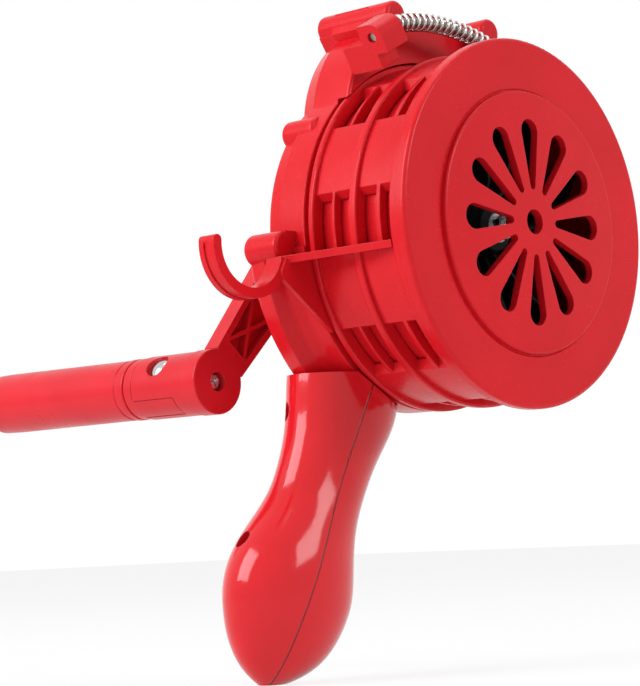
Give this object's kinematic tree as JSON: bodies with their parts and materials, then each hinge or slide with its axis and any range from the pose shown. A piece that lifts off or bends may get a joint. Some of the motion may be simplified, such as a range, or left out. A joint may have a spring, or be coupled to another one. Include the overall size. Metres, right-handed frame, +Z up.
{
  "type": "hand crank siren",
  "caption": "Hand crank siren: slotted front flange, ported drum with a geared rotor behind, pistol handle, side hook, spring carry loop and a folding crank grip.",
  "frame": {"origin": "on the rotor axis, in the plane of the flange's front face", "axes": "-Y the way the sound leaves, +Y towards the crank, +Z up with the handle below, +X to the right seen from the front"},
  "size_m": [0.1737, 0.2057, 0.2299],
  "materials": {
    "red_gloss": "gloss moulded",
    "red_crank": "semi gloss moulded",
    "black_plastic": "matte moulded",
    "white_nylon": "satin moulded",
    "bright_steel": "bright plated",
    "bronze": "sintered bronze",
    "zinc_screw": "zinc plated",
    "dark_rope": "wire rope"
  },
  "bodies": {
    "housing": {"front_cover": "red_gloss", "stator_drum": "red_gloss", "belt_hook": "red_gloss", "gearbox_body": "red_gloss", "gearbox_cover": "red_gloss", "handle_shell_left": "red_gloss", "handle_shell_right": "red_gloss", "handle_screws": "zinc_screw", "cover_screws": "zinc_screw", "drum_screws": "zinc_screw", "carry_spring": "bright_steel", "spring_core": "dark_rope", "rotor_bush_front": "bronze", "rotor_bush_rear": "bronze", "crank_bush": "bronze", "idler_pin": "bright_steel"},
    "rotor": {"rotor_ring": "red_gloss", "impeller": "black_plastic", "rotor_screws": "zinc_screw", "rotor_shaft": "bright_steel", "rotor_washer": "zinc_screw", "rotor_nut": "zinc_screw", "rotor_pinion": "bright_steel"},
    "idler": {"idler_gear": "white_nylon", "idler_pinion": "white_nylon"},
    "crank": {"crank_gear": "white_nylon", "crank_shaft": "bright_steel", "crank_arm": "red_crank", "crank_washer": "zinc_screw", "crank_screw": "zinc_screw", "grip_fork": "red_crank", "fork_screw": "zinc_screw", "fold_pin": "bright_steel"},
    "grip_pivot": {"grip_spindle": "red_crank", "grip_washer": "zinc_screw", "grip_screw": "zinc_screw"},
    "grip": {"crank_grip": "red_crank"}
  },
  "joints": [
    {"name": "crank_spin", "type": "hinge", "parent": "housing", "child": "crank", "pos_m": [0, 0.084, 0.024], "axis": [0, 1, 0], "continuous": true},
    {"name": "idler_spin", "type": "hinge", "parent": "housing", "child": "idler", "pos_m": [-0.02514, 0.056, 0.00171], "axis": [0, 1, 0], "continuous": true},
    {"name": "rotor_spin", "type": "hinge", "parent": "housing", "child": "rotor", "pos_m": [0, 0.03, 0], "axis": [0, 1, 0], "continuous": true},
    {"name": "grip_fold", "type": "hinge", "parent": "crank", "child": "grip_pivot", "pos_m": [-0.06556, 0.1075, -0.0483], "axis": [0.7408, 0, -0.6717], "range_deg": [0, 90]},
    {"name": "grip_spin", "type": "hinge", "parent": "grip_pivot", "child": "grip", "pos_m": [-0.06556, 0.16, -0.0483], "axis": [0, 1, 0], "continuous": true}
  ],
  "couplings": [
    {"joint": "idler_spin", "follows": "crank_spin", "ratio": -6},
    {"joint": "rotor_spin", "follows": "crank_spin", "ratio": 30}
  ]
}
